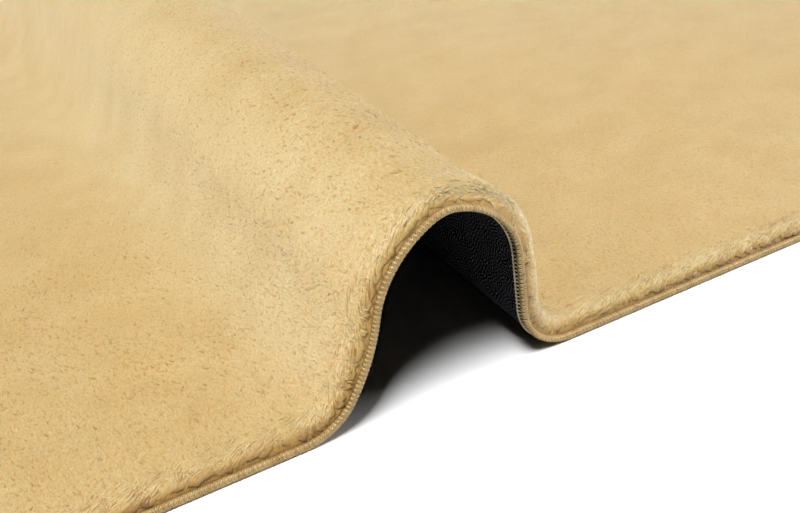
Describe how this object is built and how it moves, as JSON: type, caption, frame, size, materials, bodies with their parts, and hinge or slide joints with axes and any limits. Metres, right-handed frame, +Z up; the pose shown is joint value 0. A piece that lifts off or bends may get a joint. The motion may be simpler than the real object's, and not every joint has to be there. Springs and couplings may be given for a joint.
{
  "type": "faux fur rug",
  "caption": "Oblong faux fur rug with a short plush pile, an overlocked yarn edge and a dark anti-slip back, lying flat with one standing fold across it.",
  "frame": {"origin": "middle of the laid rug's outline, on the surface it lies on", "axes": "+X along the rug's length, across the fold; +Y across its depth, along the fold, away from the pictured edge; +Z up"},
  "size_m": [1.0578, 0.7998, 0.1301],
  "materials": {
    "backing": "matt black anti-slip back with fine raised ridges",
    "pile": "soft plush pile in butter beige",
    "binding": "overlocked yarn, slightly shiny, dark tan"
  },
  "bodies": {
    "root": {"backing": "backing", "pile": "pile", "rim_front": "pile", "rim_back": "pile", "rim_left": "pile", "rim_right": "pile", "binding": "binding"}
  },
  "joints": []
}
